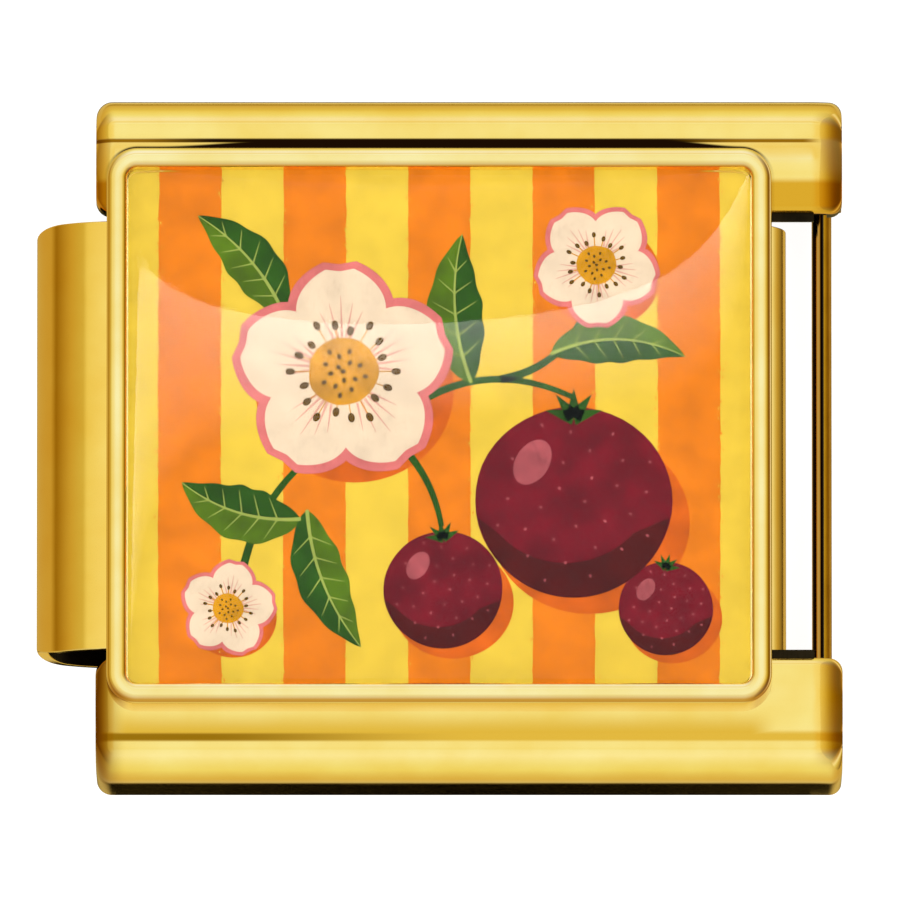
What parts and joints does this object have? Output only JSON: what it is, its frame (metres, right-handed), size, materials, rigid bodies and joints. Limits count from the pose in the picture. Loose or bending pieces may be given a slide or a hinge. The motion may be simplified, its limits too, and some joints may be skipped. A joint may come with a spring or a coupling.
{
  "type": "charm bracelet link",
  "caption": "Square-faced modular bracelet link with a bezel-set picture under clear resin, side rails, a sprung hook sleeve and a swinging staple.",
  "frame": {"origin": "on the plane that the link's back rests on, under the middle of its bounding box, which is the middle of the picture", "axes": "+X along the bracelet, from the hook sleeve to the slot with the cross pin; +Y across the bracelet, towards the picture's top; +Z out of the picture's face"},
  "size_m": [0.0106, 0.009, 0.0035],
  "materials": {
    "gold_rail": "polished gold plate",
    "gold_bezel": "polished pale gold plate",
    "gold_sleeve": "polished gold plate",
    "printed_picture": "printed, striped",
    "clear_resin": "clear, glossy",
    "steel_inner": "plated steel",
    "spring_steel": "bare spring steel"
  },
  "bodies": {
    "link": {"rail_top": "gold_rail", "rail_bottom": "gold_rail", "tray": "gold_bezel", "picture": "printed_picture", "dome": "clear_resin", "pin_left": "steel_inner", "pin_right": "steel_inner"},
    "inner_staple": {"staple_left": "steel_inner"},
    "hook_sleeve": {"sleeve": "gold_sleeve", "staple_spring": "spring_steel", "hook_spring": "spring_steel"},
    "outer_staple": {"staple_right": "steel_inner"}
  },
  "joints": [
    {"name": "inner_staple_turn", "type": "hinge", "parent": "link", "child": "inner_staple", "pos_m": [-0.00304, 0, 0.0014], "axis": [0, 1, 0], "range_deg": [0, 100], "stiffness_Nm_per_rad": 0.00002, "springref_deg": -20.05},
    {"name": "sleeve_turn", "type": "hinge", "parent": "inner_staple", "child": "hook_sleeve", "pos_m": [-0.00236, 0, 0.00083], "axis": [0, 1, 0], "range_deg": [-100, 0]},
    {"name": "outer_staple_swing", "type": "hinge", "parent": "link", "child": "outer_staple", "pos_m": [0.00496, 0, 0.0014], "axis": [0, -1, 0], "range_deg": [-12, 86]}
  ],
  "couplings": [
    {"joint": "sleeve_turn", "follows": "inner_staple_turn", "ratio": -1}
  ]
}
